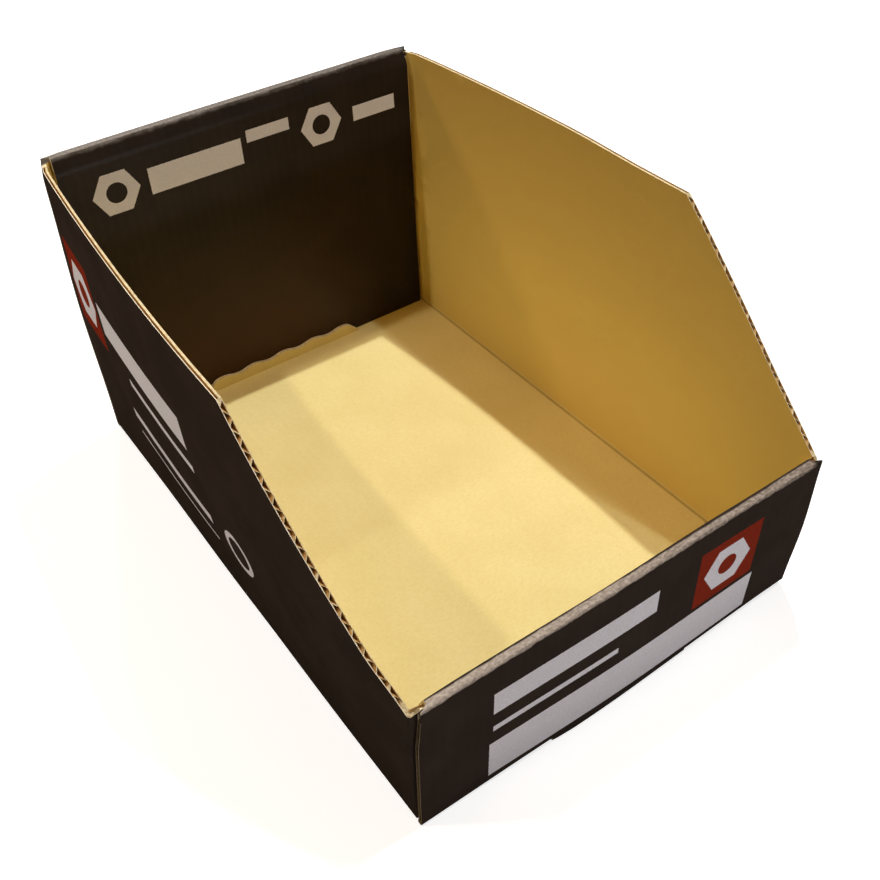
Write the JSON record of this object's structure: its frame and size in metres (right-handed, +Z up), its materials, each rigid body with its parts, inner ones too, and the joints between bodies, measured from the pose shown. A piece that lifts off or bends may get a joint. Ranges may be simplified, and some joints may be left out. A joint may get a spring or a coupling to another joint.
{
  "type": "corrugated cardboard stock bin",
  "caption": "Open-topped stock bin folded from one corrugated sheet, with a low front, side walls that slope down to it, and rolled-over front and back panels.",
  "frame": {"origin": "bottom centre of the bounding box, at the level of the two lips that the bin stands on", "axes": "+Z up, +Y to the tall back panel, +X to the right seen from the open front"},
  "size_m": [0.2746, 0.371, 0.2016],
  "materials": {
    "board": "matte"
  },
  "bodies": {
    "root": {"bin": "board"}
  },
  "joints": []
}
